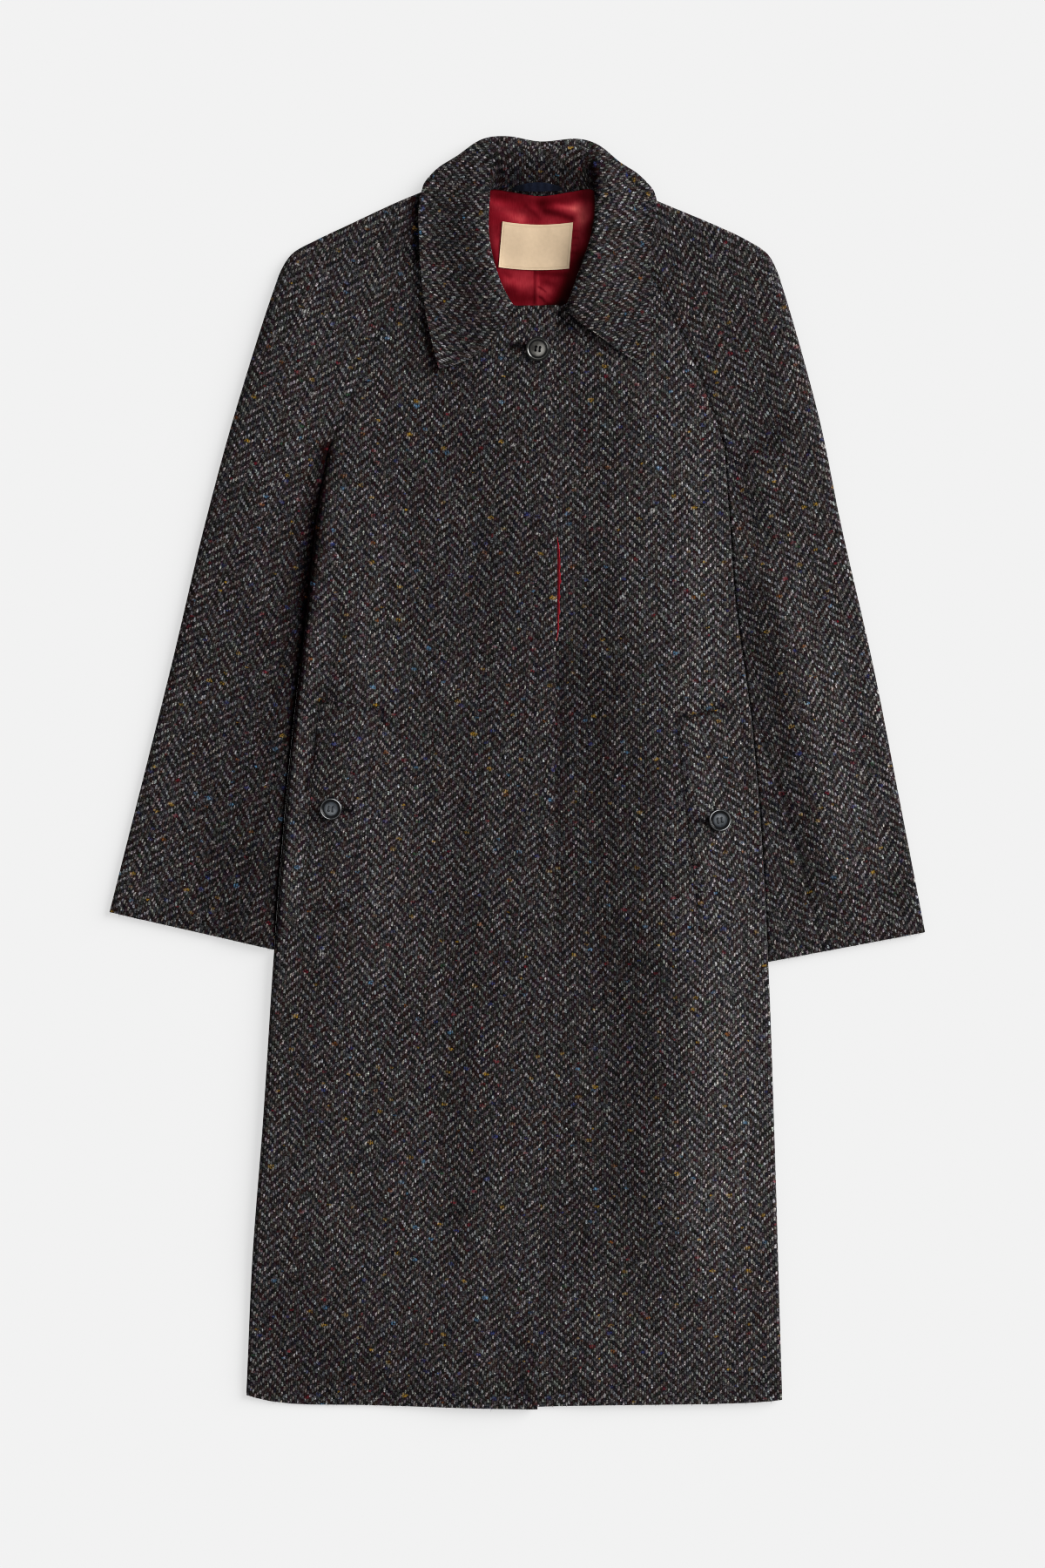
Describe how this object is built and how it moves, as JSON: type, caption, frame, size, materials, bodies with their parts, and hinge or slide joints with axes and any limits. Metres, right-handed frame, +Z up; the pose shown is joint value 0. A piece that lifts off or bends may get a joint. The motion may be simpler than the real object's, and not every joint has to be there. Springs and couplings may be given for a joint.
{
  "type": "raglan coat",
  "caption": "Knee-length single-breasted raglan coat in herringbone tweed, laid flat on its back with the front buttoned at the neck and a turned-down collar.",
  "frame": {"origin": "middle of the coat in plan, on the surface that it lies on", "axes": "+X towards the wearer's left, +Y towards the collar, +Z up out of the front of the coat"},
  "size_m": [0.7488, 1.1686, 0.0242],
  "materials": {
    "tweed": "woollen herringbone with coloured flecks",
    "lining": "satin",
    "label": "woven",
    "tape": "woven",
    "horn": "polished"
  },
  "bodies": {
    "root": {"back": "tweed", "front_right": "tweed", "front_left": "tweed", "sleeve_front_right": "tweed", "sleeve_back_right": "tweed", "sleeve_front_left": "tweed", "sleeve_back_left": "tweed", "collar": "tweed", "collar_stand": "tweed", "pocket_welt_right": "tweed", "pocket_welt_left": "tweed", "neck_lining": "lining", "fly_lining": "lining", "neck_label": "label", "hanger_loop": "tape", "button_neck": "horn", "button_pocket_right": "horn", "button_pocket_left": "horn"}
  },
  "joints": []
}
